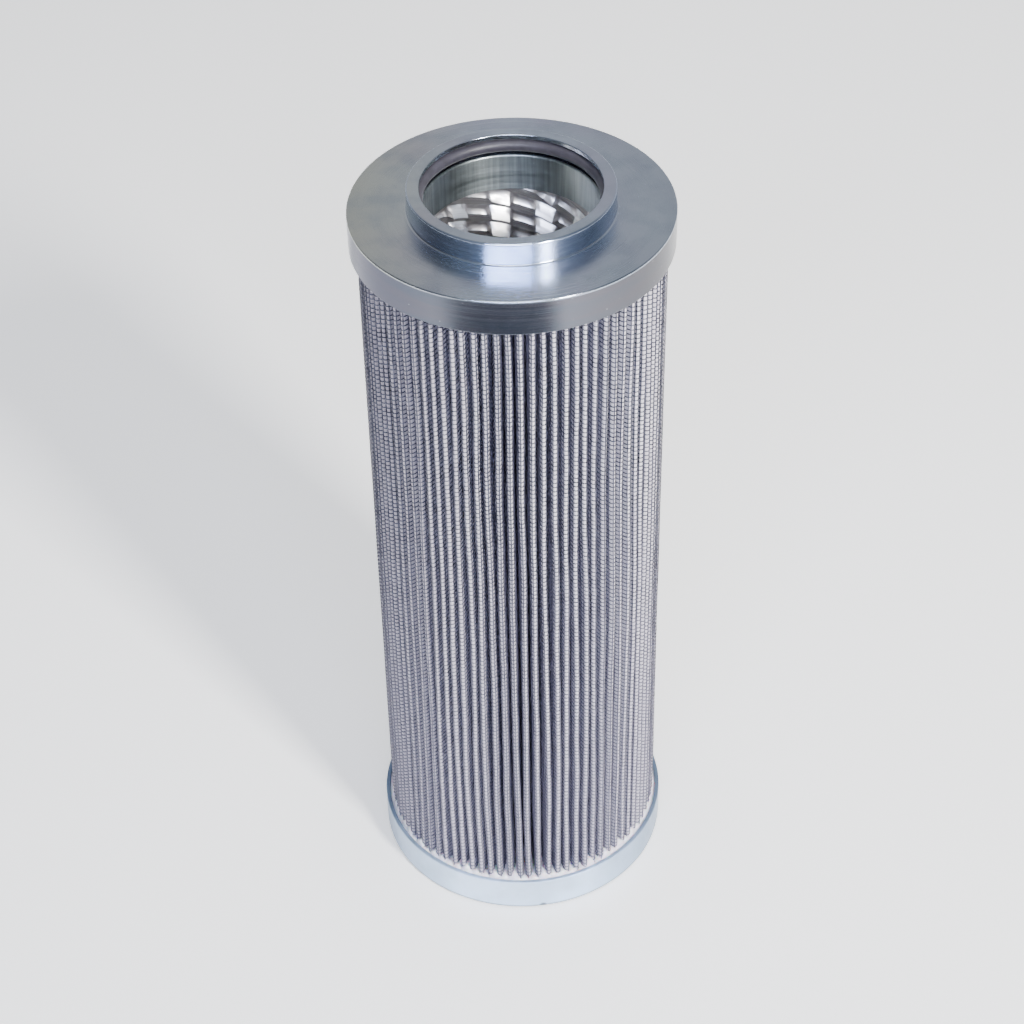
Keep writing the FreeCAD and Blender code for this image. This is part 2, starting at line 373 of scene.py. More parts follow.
def makeTopEndCap():
    cap = capSettings
    rim, foot, top = capReach["radius"], capReach["foot"], capReach["top"]
    rimInner = rim - cap["rimWall"]
    flange = top - cap["collarRise"]
    under = flange - cap["flangeWall"]
    lipUnder = top - cap["lipWall"]
    skirt = boreRadius + cap["skirtWall"]
    corners = [
        (rim, foot, cap["outerRound"]),
        (rim, flange, cap["outerRound"]),
        (cap["collarRadius"], flange, cap["rootRound"]),
        (cap["collarRadius"], top, cap["collarRound"]),
        (cap["lipRadius"], top, cap["innerRound"] * 2),
        (cap["lipRadius"], lipUnder, cap["innerRound"]),
        (cap["grooveRadius"], lipUnder, cap["innerRound"]),
        (cap["grooveRadius"], cap["grooveFoot"], cap["innerRound"]),
        (boreRadius, cap["grooveFoot"], cap["boreRound"]),
        (boreRadius, foot, cap["innerRound"]),
        (skirt, foot, cap["innerRound"]),
        (skirt, under, cap["innerRound"]),
        (rimInner, under, cap["innerRound"]),
        (rimInner, foot, cap["innerRound"]),
    ]
    return turnedPiece("topEndCap", roundOutline(corners), cap["steps"], turnedZincSteel())


ringSettings = {
    "sectionSteps": 28,
    "steps": 240,
    "black": "#2d2a30",
    "bloom": "#39363e",
    "bloomPerMm": 0.5,
    "grainPerMm": 5.0,
    "sheen": 0.12,
}


# Moulded nitrile rubber: matt and nearly black, with a faint bloom
def mouldedRubber():
    look = ringSettings
    material, tree = startMaterial("moulded nitrile rubber")
    at = measurePlace(tree)
    bloom = addNode(tree, "ShaderNodeTexNoise", {}, {0: at.place, "Scale": look["bloomPerMm"], "Detail": 4.0})
    grain = addNode(tree, "ShaderNodeTexNoise", {}, {0: at.place, "Scale": look["grainPerMm"], "Detail": 3.0})
    colour = paintLayers(tree, look["black"], (look["bloom"], (bloom, 0.3, 0.75, 0.0, 1.0)))
    rough = shareOf(tree, (grain, 0.3, 0.7, 0.42, 0.55))
    sockets = {"Base Color": colour, "Roughness": rough, "Sheen Weight": look["sheen"]}
    return endMaterial(material, sockets, grain, 0.3, 0.03)


def makeSealRing():
    section = (ringReach["top"] - ringReach["foot"]) / 2
    centre = Vector((ringReach["radius"] - section, ringReach["foot"] + section))
    steps = ringSettings["sectionSteps"]
    turns = [2 * math.pi * step / steps for step in range(steps)]
    outline = [Vector((math.cos(turn), math.sin(turn))) for turn in turns]
    outline = [(centre + direction * section, direction) for direction in outline]
    return turnedPiece("sealRing", outline, ringSettings["steps"], mouldedRubber())


cupSettings = {
    "wall": 1.0,
    "footRound": 0.7,
    "edgeRound": 0.3,
    "steps": 288,
    "pale": "#d1e6ff",
    "grey": "#bfd3e9",
    # painted shade on the cup's sides
    "side": "#6f8095",
    # painted shade along the foot
    "foot": "#6b7782",
    "nick": "#4b5058",
    "roughness": 0.34,
    "cutDulling": 0.35,  # the cut edge is rougher
    "nickTurn": -1.44,
    "nickUp": 0.5,
    "nickMm": 0.55,
}


# Deep drawn steel sheet, zinc plated: paler and duller than the turned cap, with upright drawing marks;
# painted shade greys its sides and darkens its foot
def drawnZincSheet():
    look = cupSettings
    material, tree = startMaterial("drawn zinc plated sheet")
    at = measurePlace(tree)
    radius, top = cupReach["radius"], cupReach["top"]
    drawn = stretchedNoise(tree, at.axes, (0.1, 22.0, 0.25), 4.0)
    clouds = addNode(tree, "ShaderNodeTexNoise", {}, {0: at.place, "Scale": 0.11, "Detail": 3.0})
    aside = addNode(tree, "ShaderNodeMath", {"operation": "ABSOLUTE"}, {0: at.across})
    nick = (radius * math.cos(look["nickTurn"]), radius * math.sin(look["nickTurn"]), look["nickUp"])
    toNick = addNode(tree, "ShaderNodeVectorMath", {"operation": "DISTANCE"}, {0: at.place, 1: nick}, "Value")
    colour = paintLayers(
        tree,
        look["pale"],
        (look["grey"], (clouds, 0.4, 0.65, 0.0, 0.8)),
        # painted shade: the sides are greyer
        (look["side"], (aside, 0.45 * radius, radius, 0.0, 0.85)),
        (look["nick"], (toNick, look["nickMm"], look["nickMm"] * 2, 0.85, 0.0)),
        # painted shade along the foot, where it meets the floor
        (look["foot"], (at.height, 0.4, 1.1, 0.9, 0.0)),
    )
    rough = shareOf(tree, (drawn, 0.3, 0.7, look["roughness"] - 0.06, look["roughness"] + 0.08))
    cutEdge = shareOf(tree, (at.height, top - 0.3, top - 0.1, 0.0, look["cutDulling"]))
    rough = addNode(tree, "ShaderNodeMath", {"operation": "ADD"}, {0: rough, 1: cutEdge})
    sockets = {"Base Color": colour, "Metallic": 1.0, "Roughness": rough}
    return endMaterial(material, sockets, drawn, 0.2, 0.02)


def makeBottomEndCap():
    cup = cupSettings
    radius, foot, top = cupReach["radius"], cupReach["foot"], cupReach["top"]
    corners = [
        (0, foot, 0),
        (radius, foot, cup["footRound"]),
        (radius, top, cup["edgeRound"]),
        (radius - cup["wall"], top, cup["edgeRound"]),
        (radius - cup["wall"], foot + cup["wall"], cup["edgeRound"]),
        (0, foot + cup["wall"], 0),
    ]
    return turnedPiece("bottomEndCap", roundOutline(corners), cup["steps"], drawnZincSheet())


topEndCap = makeTopEndCap()
sealRing = makeSealRing()
bottomEndCap = makeBottomEndCap()
print("end caps and ring turned")

coreSettings = {
    "innerRadius": coreReach["radius"] - 0.6,
    "strip": 0.45,  # thickness of the wound strip
    "lead": 38.25,
    "rows": 9,  # rows of louvres across the strip, so one lead is nine rows
    "perTurn": 12,
    "louvreShare": 0.6,  # how much of a row's height the louvres take
    "push": 1.6,  # how far a louvre's free edge is pressed in
    "curl": 0.85,  # how its face curves on the way there; 1 is straight
    "bulge": 0.45,  # how much of the push the others bulge out
    "endShare": 0.05,  # how much of a pair of louvres each torn end takes
    "plainEnd": 8.5,  # how far from its ends the tube stays plain
    "plainFade": 1.5,
    "sharpAngle": 40,
    "bright": "#efedec",
    "grey": "#cbc7c8",
    "roughness": 0.35,
}


# Bright rolled steel strip: near mirror, with fine lines that climb along the winding
def brightStrip():
    look = coreSettings
    material, tree = startMaterial("bright rolled steel strip")
    at = measurePlace(tree)
    radius, turn, height = at.axes
    fall = -look["lead"] / (2 * math.pi)
    climb = addNode(tree, "ShaderNodeMath", {"operation": "MULTIPLY_ADD"}, {0: turn, 1: fall, 2: height})
    lines = stretchedNoise(tree, (radius, turn, climb), (0.4, 1.2, 2.6), 4.0)
    colour = paintLayers(tree, look["bright"], (look["grey"], (lines, 0.35, 0.7, 0.0, 1.0)))
    rough = shareOf(tree, (lines, 0.3, 0.7, look["roughness"] - 0.07, look["roughness"] + 0.07))
    sockets = {"Base Color": colour, "Metallic": 1.0, "Roughness": rough}
    return endMaterial(material, sockets, lines, 0.2, 0.02)


# One length of the core's strip: a row of louvres, half of them pressed in and half out, and the plain
# land above it. Each is a closed ribbon, so a pressed louvre stands off its neighbours as a real slit.
def makeCorePanel(material):
    sizes = coreSettings
    rowPitch = sizes["lead"] / sizes["rows"]
    louvre = rowPitch * sizes["louvreShare"]
    around = 2 * math.pi / sizes["perTurn"]
    climb = sizes["lead"] / sizes["perTurn"]
    middle = sizes["innerRadius"] + sizes["strip"] / 2
    points, faces = [], []

    def ribbon(foot, height, levels, shares, push):
        start = len(points)
        section = [(step / levels, -0.5) for step in range(levels + 1)]
        section += [(share, 0.5) for share, _ in section[::-1]]
        for share in shares:
            inHalf = share % 0.5
            ends = min(1, inHalf / sizes["endShare"], (0.5 - inHalf) / sizes["endShare"])
            wave = math.copysign(ends, 0.5 - share)
            for up, side in section:
                # pressed in, a louvre's foot hangs free and its face looks up; pressed out, it bulges
                dome = (1 - up) ** sizes["curl"] if wave > 0 else sizes["bulge"] * math.sin(math.pi * up)
                radius = middle + side * sizes["strip"] - push * wave * dome
                turn = share * around
                level = foot + up * height + share * climb
                points.append((radius * math.cos(turn), radius * math.sin(turn), level))
        size = len(section)
        for step in range(len(shares) - 1):
            for index in range(size):
                ahead = (index + 1) % size
                low, high = start + step * size, start + (step + 1) * size
                faces.append((low + index, high + index, high + ahead, low + ahead))

    end = sizes["endShare"]
    half = [0, end / 2, end, 0.16, 0.25, 0.34, 0.5 - end, 0.5 - end / 2]
    ribbon(0, louvre, 3, half + [0.5 + share for share in half] + [1], sizes["push"])
    ribbon(louvre, rowPitch - louvre, 1, [step / 6 for step in range(7)], 0)
    return meshPiece("coreTube", points, faces, material)


def makeCoreTube():
    sizes = coreSettings
    material = brightStrip()
    rowPitch = sizes["lead"] / sizes["rows"]
    rows = math.ceil((coreReach["top"] - coreReach["foot"]) / rowPitch) + sizes["rows"] + 1
    inputs = {
        "Louvres": sizes["perTurn"],
        "Climb": sizes["lead"] / sizes["perTurn"] * mm,
        "Rows": rows,
        "Row Pitch": rowPitch * mm,
        "Foot": (coreReach["foot"] - sizes["lead"]) * mm,
    }
    tree, given = startTree("wound strip", inputs)
    index = addNode(tree, "GeometryNodeInputIndex")
    around = 2 * math.pi / sizes["perTurn"]
    turn = addNode(tree, "ShaderNodeMath", {"operation": "MULTIPLY"}, {0: index, 1: around})
    turned = addNode(tree, "ShaderNodeCombineXYZ", sockets={2: turn})
    first = pointColumn(tree, given["Louvres"], 0.0, given["Climb"])
    louvres = {"Points": first, "Instance": given["Geometry"], "Rotation": turned}
    helix = addNode(tree, "GeometryNodeInstanceOnPoints", sockets=louvres)
    stack = pointColumn(tree, given["Rows"], given["Foot"], given["Row Pitch"])
    tube = addNode(tree, "GeometryNodeInstanceOnPoints", sockets={"Points": stack, "Instance": helix})
    endTree(tree, tube, material)
    core = growMesh(makeCorePanel(material), tree, inputs)
    trimCore(core)
    return core


# Joins the louvres into ribbons, cuts them level at both ends and flattens them where the caps hold them
def trimCore(core):
    sizes = coreSettings
    work = bmesh.new()
    work.from_mesh(core.data)
    bmesh.ops.remove_doubles(work, verts=work.verts, dist=0.005 * mm)
    for height, upward in ((coreReach["foot"], -1), (coreReach["top"], 1)):
        everything = work.verts[:] + work.edges[:] + work.faces[:]
        plane = {"plane_co": (0, 0, height * mm), "plane_no": (0, 0, upward)}
        bmesh.ops.bisect_plane(work, geom=everything, clear_outer=True, **plane)
        torn = [edge for edge in work.edges if edge.is_boundary]
        cut = [edge for edge in torn if abs(edge.verts[0].co.z - height * mm) < 1e-7]
        bmesh.ops.holes_fill(work, edges=cut, sides=0)
    middle = (sizes["innerRadius"] + sizes["strip"] / 2) * mm
    for vert in work.verts:
        radius = math.hypot(vert.co.x, vert.co.y)
        fromEnd = min(vert.co.z / mm - coreReach["foot"], coreReach["top"] - vert.co.z / mm)
        kept = min(1, max(0, (fromEnd - sizes["plainEnd"]) / sizes["plainFade"]))
        strip = math.copysign(min(abs(radius - middle), sizes["strip"] / 2 * mm), radius - middle)
        wanted = middle + strip + (radius - middle - strip) * kept
        vert.co.x *= wanted / radius
        vert.co.y *= wanted / radius
    bmesh.ops.recalc_face_normals(work, faces=work.faces)
    work.to_mesh(core.data)
    work.free()
    core.data.shade_smooth()
    core.data.set_sharp_from_angle(angle=math.radians(sizes["sharpAngle"]))


coreTube = makeCoreTube()
print("core wound:", len(coreTube.data.polygons), "faces")

packSizes = {
    "pleats": 85,
    "rootRadius": 21.5,  # where two fins meet, on the outside of the mesh
    "finHalf": 0.79,
    "crestDrop": 0.75,  # how far the rounded crest falls to the fin's straight sides
    "meshThick": 0.28,
    "mediaThick": 0.42,
    "seamHalf": 0.15,
    "seamSetback": 0.6,
    "lean": 1.3,  # how far crests stray sideways, times a noise that seldom passes a third
    "wave": 0.5,
    "comb": 2.1,  # how far whole groups of crests lean the same way
    "rise": 0.35,
    "seed": 7.0,
    "levels": 26,  # steps in the height of a fold
}


# A pleat's section from one valley's middle over the crest to the next, as (across, out) in millimetres
def pleatLine(inset, arcSteps=5):
    pack = packSizes
    halfStep = math.pi / pack["pleats"]
    root = pack["rootRadius"] - inset
    side = pack["finHalf"] - inset
    top = packReach["radius"] - inset
    line = [(-root * math.sin(halfStep), root * math.cos(halfStep))]
    for step in range(arcSteps + 1):
        turn = math.pi * step / arcSteps
        line.append((-side * math.cos(turn), top - pack["crestDrop"] * (1 - math.sin(turn))))
    line.append((-line[0][0], line[0][1]))
    return line


# The seam's fin has no crest: its two legs end side by side
def seamLegs(inset):
    pack = packSizes
    side = pack["seamHalf"] + pack["mediaThick"] + pack["meshThick"] - inset
    end = packReach["radius"] - pack["seamSetback"]
    root = pleatLine(inset)[0]
    return [[root, (-side, end)], [(side, end), (-root[0], root[1])]]


# Adds to a tree: the panel repeated on every fin and the seam's own panel, joined into one folded ring
def foldedRing(tree, given):
    index = addNode(tree, "GeometryNodeInputIndex")
    step = 2 * math.pi / packSizes["pleats"]
    turn = addNode(tree, "ShaderNodeMath", {"operation": "MULTIPLY_ADD"}, {0: index, 1: step, 2: step})
    turned = addNode(tree, "ShaderNodeCombineXYZ", sockets={2: turn})
    isSeam = addNode(tree, "GeometryNodeInputNamedAttribute", {"data_type": "FLOAT"}, {"Name": "seamPanel"})
    panels = {"Geometry": given["Geometry"], "Selection": isSeam}
    seam, fin = addNode(tree, "GeometryNodeSeparateGeometry", sockets=panels).node.outputs
    fins = addNode(tree, "GeometryNodeMeshLine", {}, {"Count": given["Fins"], "Offset": (0.0, 0.0, 0.0)})
    placed = {"Points": fins, "Instance": fin, "Rotation": turned}
    around = addNode(tree, "GeometryNodeInstanceOnPoints", sockets=placed)
    perFin = {"data_type": "FLOAT", "domain": "INSTANCE"}
    number = {"Geometry": around, "Name": "fin", "Value": index}
    numbered = addNode(tree, "GeometryNodeStoreNamedAttribute", perFin, number)
    whole = addNode(tree, "GeometryNodeRealizeInstances", sockets={0: numbered})
    joined = addNode(tree, "GeometryNodeJoinGeometry")
    for part in (seam, whole):
        tree.links.new(part, joined.node.inputs[0])
    return addNode(tree, "GeometryNodeMergeByDistance", {}, {"Geometry": joined, "Distance": 0.004 * mm})


# Adds to a tree: fins stray sideways and in and out, most at the crest and not at all at the root
def strayFins(tree, geometry, given):
    place = addNode(tree, "GeometryNodeInputPosition")
    across, along, height = addNode(tree, "ShaderNodeSeparateXYZ", sockets={0: place}).node.outputs
    out = addNode(tree, "ShaderNodeCombineXYZ", sockets={0: across, 1: along})
    radius = addNode(tree, "ShaderNodeVectorMath", {"operation": "LENGTH"}, {0: out}, "Value")
    outward = addNode(tree, "ShaderNodeVectorMath", {"operation": "NORMALIZE"}, {0: out})
    axis = (0.0, 0.0, 1.0)
    sideways = addNode(tree, "ShaderNodeVectorMath", {"operation": "CROSS_PRODUCT"}, {0: axis, 1: outward})
    weight = addNode(
        tree,
        "ShaderNodeMapRange",
        {"interpolation_type": "SMOOTHSTEP"},
        {"Value": radius, "From Min": packSizes["rootRadius"] * mm, "From Max": packReach["radius"] * mm},
    )
    fin = addNode(tree, "GeometryNodeInputNamedAttribute", {"data_type": "FLOAT"}, {"Name": "fin"})
    strays = []
    # what strays, and its waves for each millimetre of height and for each fin
    rates = (("Lean", 0.008, 3.7), ("Wave", 0.045, 5.3), ("Comb", 0.011, 0.06), ("Rise", 0.02, 2.9))
    for label, perMm, finRate in rates:
        up = addNode(tree, "ShaderNodeMath", {"operation": "MULTIPLY"}, {0: height, 1: perMm / mm})
        ahead = addNode(tree, "ShaderNodeMath", {"operation": "MULTIPLY"}, {0: fin, 1: finRate})
        vector = addNode(tree, "ShaderNodeCombineXYZ", sockets={0: ahead, 1: up, 2: given["Seed"]})
        noise = addNode(tree, "ShaderNodeTexNoise", {}, {0: vector, "Scale": 1.0, "Detail": 1.0})
        centred = addNode(tree, "ShaderNodeMath", {"operation": "SUBTRACT"}, {0: noise, 1: 0.5})
        stray = addNode(tree, "ShaderNodeMath", {"operation": "MULTIPLY"}, {0: centred, 1: given[label]})
        strays.append(stray)
    aside = addNode(tree, "ShaderNodeMath", {"operation": "ADD"}, {0: strays[0], 1: strays[1]})
    aside = addNode(tree, "ShaderNodeMath", {"operation": "ADD"}, {0: aside, 1: strays[2]})
    moves = []
    for direction, amount in ((sideways, aside), (outward, strays[3])):
        scaled = addNode(tree, "ShaderNodeMath", {"operation": "MULTIPLY"}, {0: amount, 1: weight})
        move = {0: direction, "Scale": scaled}
        moves.append(addNode(tree, "ShaderNodeVectorMath", {"operation": "SCALE"}, move))
    move = addNode(tree, "ShaderNodeVectorMath", {"operation": "ADD"}, dict(enumerate(moves)))
    return addNode(tree, "GeometryNodeSetPosition", sockets={"Geometry": geometry, "Offset": move})


strayInputs = {label: packSizes[label.lower()] * mm for label in ("Lean", "Wave", "Comb", "Rise")}
strayInputs |= {"Fins": packSizes["pleats"] - 1, "Seed": packSizes["seed"]}


# A panel's points are given across, out and up; the first fin, at +Y, is the seam's
def panelPiece(name, finMesh, seamMesh, material):
    points, edges, faces, flags = [], [], [], []
    for flag, (panelPoints, panelEdges, panelFaces) in ((0.0, finMesh), (1.0, seamMesh)):
        start = len(points)
        points += [(-across, out, up) for across, out, up in panelPoints]
        edges += [tuple(start + corner for corner in edge) for edge in panelEdges]
        faces += [tuple(start + corner for corner in face) for face in panelFaces]
        flags += [flag] * len(panelPoints)
    obj = meshPiece(name, points, faces, material, edges)
    obj.data.attributes.new("seamPanel", "FLOAT", "POINT").data.foreach_set("value", flags)
    return obj


# A sheet between an outer and an inner line of as many points, closed at its foot and its top
def sheetPanel(outer, inner, closedEnds=()):
    foot, height = packReach["foot"], packReach["top"] - packReach["foot"]
    levels = packSizes["levels"]
    size = len(outer)
    points = [
        (across, out, foot + height * level / levels)
        for level in range(levels + 1)
        for across, out in outer + inner
    ]
    faces = []
    for level in range(levels):
        low, high = level * 2 * size, (level + 1) * 2 * size
        for index in range(size - 1):
            faces.append((low + index, high + index, high + index + 1, low + index + 1))
            back = size + index
            faces.append((low + back, low + back + 1, high + back + 1, high + back))
        for index in closedEnds:
            quad = (low + index, low + size + index, high + size + index, high + index)
            faces.append(quad if index == 0 else quad[::-1])
    top = levels * 2 * size
    for index in range(size - 1):
        faces.append((index, index + 1, size + index + 1, size + index))
        faces.append((top + index, top + size + index, top + size + index + 1, top + index + 1))
    return points, [], faces


mediaSettings = {
    "crestSteps": 6,
    "sharpAngle": 60,
    "white": "#dad5d7",
    "lilac": "#c3bcc5",
    # painted shade on the folds' flanks
    "flankShade": "#a5a1b2",
    "root": "#e6e3ea",
    # darker towards the foot
    "darkerLow": "#b4aeba",
    # painted shade at the front left, more towards the top
    "paintedShadeGrey": "#857d83",
    "fibreMm": 0.25,
    "sheen": 0.15,
}


# Glass fibre fleece: a matt white felt of fine fibres, with painted shade on the folds' flanks, pale at their
# roots, darker towards the foot, and painted shade that greys it at the front left, more towards the top
def glassFleece():
    look = mediaSettings
    material, tree = startMaterial("glass fibre fleece")
    at = measurePlace(tree)
    foot, top, crest = packReach["foot"], packReach["top"], packReach["radius"]
    felt = {0: at.place, "Scale": 1 / look["fibreMm"], "Detail": 5.0}
    fibres = addNode(tree, "ShaderNodeTexNoise", sockets=felt)
    clouds = stretchedNoise(tree, at.axes, (0.1, 20.0, 0.05), 3.0)
    toLeft = (at.across, -30.0, 2.0, 1.0, 0.0)
    toFront = (at.along, 0.0, 16.0, 1.0, 0.3)
    upward = (at.height, foot + 30.0, top - 20.0, 0.3, 0.85)
    colour = paintLayers(
        tree,
        look["white"],
        (look["lilac"], (clouds, 0.35, 0.7, 0.0, 1.0)),
        # darker towards the foot
        (look["darkerLow"], (at.height, foot + 25.0, foot + 120.0, 0.8, 0.0)),
        # painted shade at the front left, more towards the top
        (look["paintedShadeGrey"], toLeft, toFront, upward),
        # painted shade on the folds' flanks
        (look["flankShade"], (at.radius, crest - 2.2, crest - 0.6, 1.0, 0.0)),
        (look["root"], (at.radius, crest - 6.5, crest - 3.0, 1.0, 0.0)),
    )
    sockets = {"Base Color": colour, "Roughness": 0.9, "Sheen Weight": look["sheen"]}
    return endMaterial(material, sockets, fibres, 0.5, 0.06)


def makeFilterMedia():
    pack = packSizes
    material = glassFleece()
    outside, inside = pack["meshThick"], pack["meshThick"] + pack["mediaThick"]
    steps = mediaSettings["crestSteps"]
    fin = sheetPanel(pleatLine(outside, steps), pleatLine(inside, steps))
    outerLegs, innerLegs = seamLegs(outside), seamLegs(inside)
    near = sheetPanel(outerLegs[0], innerLegs[0], (1,))
    far = sheetPanel(outerLegs[1], innerLegs[1], (0,))
    shift = len(near[0])
    seam = (near[0] + far[0], [], near[2] + [tuple(shift + corner for corner in face) for face in far[2]])
    tree, given = startTree("pleated sheet", strayInputs)
    endTree(tree, strayFins(tree, foldedRing(tree, given), given), material)
    media = growMesh(panelPiece("filterMedia", fin, seam, material), tree, strayInputs)
    media.data.shade_smooth()
    media.data.set_sharp_from_angle(angle=math.radians(mediaSettings["sharpAngle"]))
    return media


filterMedia = makeFilterMedia()
print("media folded:", len(filterMedia.data.polygons), "faces")

meshSettings = {
    "bare": "#5e5e6b",
    "dark": "#353541",
    "pale": "#7b7888",
    "deep": "#77758c",
    "roughness": 0.45,
    "diameter": 0.3,
    "weftPitch": 1.14,
    "warpPitch": 1.25,
    "weftInset": 0.18,
    "warpInset": 0.155,
    "deepest": 27.5,  # an upright wire that lies deeper isn't seen, and is left out
    "bands": 4,
}


# Woven steel wire with a thin resin coat: dull dark grey, paler towards the foot, and paler and bluer
# deep in the folds
def coatedWire():
    look = meshSettings
    material, tree = startMaterial("resin coated steel wire")
    at = measurePlace(tree)
    foot, crest = packReach["foot"], packReach["radius"]
    clouds = addNode(tree, "ShaderNodeTexNoise", {}, {0: at.place, "Scale": 0.35, "Detail": 4.0})
    colour = paintLayers(
        tree,
        look["bare"],
        (look["dark"], (clouds, 0.35, 0.65, 0.0, 1.0)),
        (look["pale"], (at.height, foot + 10.0, foot + 110.0, 0.75, 0.0)),
        (look["deep"], (at.radius, crest - 3.5, crest - 1.2, 0.85, 0.0)),
    )
    rough = shareOf(tree, (clouds, 0.3, 0.7, look["roughness"] - 0.1, look["roughness"] + 0.1))
    return endMaterial(material, {"Base Color": colour, "Metallic": 0.4, "Roughness": rough})


def wirePanel(inset):
    fin = [(across, out, 0.0) for across, out in pleatLine(inset)]
    finEdges = [(index, index + 1) for index in range(len(fin) - 1)]
    near, far = seamLegs(inset)
    seam = [(across, out, 0.0) for across, out in near + far]
    return (fin, finEdges, []), (seam, [(0, 1), (2, 3)], [])


# Ends a tree of edges: they stray with their fins and turn into wire, which at its real thickness looks
# round with three sides that are shaded smooth
def endWires(tree, edges, given, material):
    whole = addNode(tree, "GeometryNodeRealizeInstances", sockets={0: edges})
    line = addNode(tree, "GeometryNodeMeshToCurve", sockets={0: strayFins(tree, whole, given)})
    section = {"Resolution": 3, "Radius": meshSettings["diameter"] / 2 * mm}
    ring = addNode(tree, "GeometryNodeCurvePrimitiveCircle", {"mode": "RADIUS"}, section)
    sweep = {"Curve": line, "Profile Curve": ring, "Fill Caps": True}
    tube = addNode(tree, "GeometryNodeCurveToMesh", sockets=sweep)
    smooth = addNode(tree, "GeometryNodeSetShadeSmooth", sockets={"Geometry": tube, "Shade Smooth": True})
    endTree(tree, smooth, material)
    return tree


# The mesh's level wires, one folded ring of wire above another
def weftTree(material):
    inputs = dict(strayInputs, Wires=1, Foot=0.0, Pitch=0.0)
    tree, given = startTree("level wires", inputs)
    ring = foldedRing(tree, given)
    stack = pointColumn(tree, given["Wires"], given["Foot"], given["Pitch"])
    rings = addNode(tree, "GeometryNodeInstanceOnPoints", sockets={"Points": stack, "Instance": ring})
    return endWires(tree, rings, given, material)


# The mesh's upright wires, spaced evenly along the unfolded mesh, so each pleat shows them elsewhere
def warpTree(material):
    inputs = dict(strayInputs, Pitch=0.0, Steps=1, Climb=0.0, Foot=0.0, Deepest=0.0)
    tree, given = startTree("upright wires", inputs)
    ring = addNode(tree, "GeometryNodeMeshToCurve", sockets={0: foldedRing(tree, given)})
    spacing = {"Curve": ring, "Length": given["Pitch"]}
    spaced = addNode(tree, "GeometryNodeResampleCurve", {"mode": "LENGTH"}, spacing)
    place = addNode(tree, "GeometryNodeInputPosition")
    out = addNode(tree, "ShaderNodeVectorMath", {"operation": "LENGTH"}, {0: place}, "Value")
    seen = addNode(tree, "ShaderNodeMath", {"operation": "GREATER_THAN"}, {0: out, 1: given["Deepest"]})
    upright = pointColumn(tree, given["Steps"], given["Foot"], given["Climb"])
    uprights = {"Points": spaced, "Selection": seen, "Instance": upright}
    wires = addNode(tree, "GeometryNodeInstanceOnPoints", sockets=uprights)
    return endWires(tree, wires, given, material)


def makeOuterMesh():
    wire = meshSettings
    material = coatedWire()
    foot, height = packReach["foot"], packReach["top"] - packReach["foot"]
    weftFoot = foot + wire["diameter"]
    wires = math.floor((height - 2 * wire["diameter"]) / wire["weftPitch"]) + 1
    perBand = math.ceil(wires / wire["bands"])
    tree = weftTree(material)
    pieces = []
    for band in range(wire["bands"]):
        first = band * perBand
        inputs = dict(
            strayInputs,
            Wires=min(perBand, wires - first),
            Foot=(weftFoot + first * wire["weftPitch"]) * mm,
            Pitch=wire["weftPitch"] * mm,
        )
        panel = panelPiece(f"outerMeshWeft{band + 1}", *wirePanel(wire["weftInset"]), material)
        pieces.append(growMesh(panel, tree, inputs))
    inputs = dict(
        strayInputs,
        Pitch=wire["warpPitch"] * mm,
        Steps=packSizes["levels"] + 1,
        Climb=height / packSizes["levels"] * mm,
        Foot=foot * mm,
        Deepest=wire["deepest"] * mm,
    )
    panel = panelPiece("outerMeshWarp", *wirePanel(wire["warpInset"]), material)
    pieces.append(growMesh(panel, warpTree(material), inputs))
    return pieces


meshPieces = makeOuterMesh()
print("wire woven:", [len(piece.data.polygons) for piece in meshPieces], "faces")

glueSettings = {
    "creepLow": 0.4,
    "creepHigh": 2.4,
    "upperShare": 0.5,
    "underPleat": 0.6,  # under a pleat it creeps by this share of what it does between two
    "wallFade": 0.7,  # how far in from its edge the creep reaches its full height
    "coreGap": 0.05,
    "seed": 5,
    "around": 680,
    "across": 14,
    "roughness": 0.28,
    "milky": "#f6f1f5",
    "pink": "#e2dae2",
    "subsurface": 0.2,
    "subsurfaceMm": 0.5,
}

seamSettings = {
    "slack": 0.01,
    "sink": 0.3,  # how far the strip goes in past the fins' roots
    "proud": 0.1,  # how far it stands past the ends of the sheets
    "crown": 0.12,
    "steps": 60,
    "sway": 0.05,
    "seed": 11,
    "roughness": 0.5,
}


# Cast two-part adhesive: glossy, milky and faintly pink, set with shallow sags
def castAdhesive(name, roughness):
    look = glueSettings
    material, tree = startMaterial(name)
    at = measurePlace(tree)
    sags = addNode(tree, "ShaderNodeTexNoise", {}, {0: at.place, "Scale": 0.6, "Detail": 3.0})
    sockets = {
        "Base Color": paintLayers(tree, look["milky"], (look["pink"], (sags, 0.35, 0.7, 0.0, 1.0))),
        "Roughness": roughness,
        "Subsurface Weight": look["subsurface"],
        "Subsurface Scale": look["subsurfaceMm"] * mm,
    }
    return endMaterial(material, sockets, sags, 0.5, 0.2)


